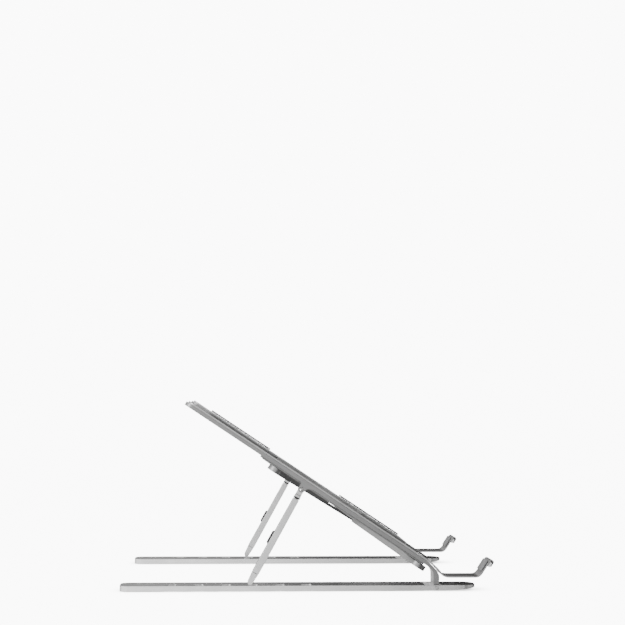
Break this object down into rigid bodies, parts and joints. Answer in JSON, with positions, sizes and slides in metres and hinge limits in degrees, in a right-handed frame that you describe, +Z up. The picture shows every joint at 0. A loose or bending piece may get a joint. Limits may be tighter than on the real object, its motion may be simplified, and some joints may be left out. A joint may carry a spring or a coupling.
{
  "type": "folding laptop stand",
  "caption": "Folding aluminium laptop stand: slotted base bars, sloping arms with hooked front ends, propping legs and a scissor brace between the sides.",
  "frame": {"origin": "on the table surface, at the centre of the stand's outline as it stands open", "axes": "+X towards the user and the hooked ends, +Y towards the stand's right side, +Z up"},
  "size_m": [0.2745, 0.194, 0.1384],
  "materials": {
    "anodised_aluminium": "satin anodised silver",
    "steel": "satin",
    "silicone": "soft matt grey",
    "rubber": "matt black",
    "nylon": "matt, light grey"
  },
  "bodies": {
    "left_base": {"left_base_bar": "anodised_aluminium", "left_base_rear_foot": "rubber", "left_base_front_foot": "rubber", "left_hinge_pin": "steel", "left_hinge_outer_washer": "nylon", "left_hinge_inner_washer": "nylon"},
    "left_arm": {"left_arm_channel": "anodised_aluminium", "left_hook_strip": "anodised_aluminium", "left_arm_rear_pad": "silicone", "left_arm_front_pad": "silicone", "left_hook_pad": "silicone", "left_hook_liner": "nylon", "left_brace_rail": "steel", "left_rear_strip_rivet": "steel", "left_middle_strip_rivet": "steel", "left_front_strip_rivet": "steel", "left_leg_pivot_pin": "steel", "left_brace_front_rivet": "steel"},
    "left_leg": {"left_leg_tube": "anodised_aluminium", "left_leg_head": "anodised_aluminium", "left_leg_foot": "anodised_aluminium", "left_leg_bumper": "rubber"},
    "left_slider": {"left_brace_slider": "nylon"},
    "right_base": {"right_base_bar": "anodised_aluminium", "right_base_rear_foot": "rubber", "right_base_front_foot": "rubber", "right_hinge_pin": "steel", "right_hinge_outer_washer": "nylon", "right_hinge_inner_washer": "nylon"},
    "right_arm": {"right_arm_channel": "anodised_aluminium", "right_hook_strip": "anodised_aluminium", "right_arm_rear_pad": "silicone", "right_arm_front_pad": "silicone", "right_hook_pad": "silicone", "right_hook_liner": "nylon", "right_brace_rail": "steel", "right_rear_strip_rivet": "steel", "right_middle_strip_rivet": "steel", "right_front_strip_rivet": "steel", "right_leg_pivot_pin": "steel", "right_brace_front_rivet": "steel"},
    "right_leg": {"right_leg_tube": "anodised_aluminium", "right_leg_head": "anodised_aluminium", "right_leg_foot": "anodised_aluminium", "right_leg_bumper": "rubber"},
    "right_slider": {"right_brace_slider": "nylon"},
    "upper_brace": {"brace_bar_upper": "anodised_aluminium", "brace_centre_rivet_upper": "steel", "right_brace_rear_rivet": "steel"},
    "lower_brace": {"brace_bar_lower": "anodised_aluminium", "brace_centre_rivet_lower": "steel", "left_brace_rear_rivet": "steel"}
  },
  "joints": [
    {"name": "left_arm_hinge", "type": "hinge", "parent": "left_base", "child": "left_arm", "pos_m": [0.0945, -0.086, 0.0023], "axis": [0, -1, 0], "range_deg": [-3.5, 28.5]},
    {"name": "left_leg_pivot", "type": "hinge", "parent": "left_arm", "child": "left_leg", "pos_m": [-0.00501, -0.086, 0.07412], "axis": [0, 1, 0], "range_deg": [-11.6, 94.1]},
    {"name": "left_slider_travel", "type": "slide", "parent": "left_arm", "child": "left_slider", "axis": [-0.8358, 0, 0.549], "range_m": [0, 0.0737]},
    {"name": "right_arm_hinge", "type": "hinge", "parent": "right_base", "child": "right_arm", "pos_m": [0.0945, 0.086, 0.0023], "axis": [0, -1, 0], "range_deg": [-3.5, 28.5]},
    {"name": "right_leg_pivot", "type": "hinge", "parent": "right_arm", "child": "right_leg", "pos_m": [-0.00501, 0.086, 0.07412], "axis": [0, 1, 0], "range_deg": [-11.6, 94.1]},
    {"name": "right_slider_travel", "type": "slide", "parent": "right_arm", "child": "right_slider", "axis": [-0.8358, 0, 0.549], "range_m": [0, 0.0737]},
    {"name": "width_slide", "type": "slide", "parent": "left_base", "child": "right_base", "axis": [0, -1, 0], "range_m": [0, 0.1138]},
    {"name": "upper_brace_pivot", "type": "hinge", "parent": "left_arm", "child": "upper_brace", "pos_m": [0.08299, -0.0815, 0.01829], "axis": [0.549, 0, 0.8358], "range_deg": [0, 38.3]},
    {"name": "lower_brace_pivot", "type": "hinge", "parent": "right_arm", "child": "lower_brace", "pos_m": [0.08299, 0.0815, 0.01829], "axis": [-0.549, 0, -0.8358], "range_deg": [0, 38.3]}
  ],
  "couplings": [
    {"joint": "right_arm_hinge", "follows": "left_arm_hinge", "ratio": 1},
    {"joint": "left_leg_pivot", "follows": "left_arm_hinge", "ratio": 3.3},
    {"joint": "right_leg_pivot", "follows": "left_arm_hinge", "ratio": 3.3},
    {"joint": "left_slider_travel", "follows": "width_slide", "ratio": 0.6463},
    {"joint": "right_slider_travel", "follows": "width_slide", "ratio": 0.6463},
    {"joint": "upper_brace_pivot", "follows": "width_slide", "rad_per_m": 5.8656},
    {"joint": "lower_brace_pivot", "follows": "width_slide", "rad_per_m": 5.8656}
  ]
}
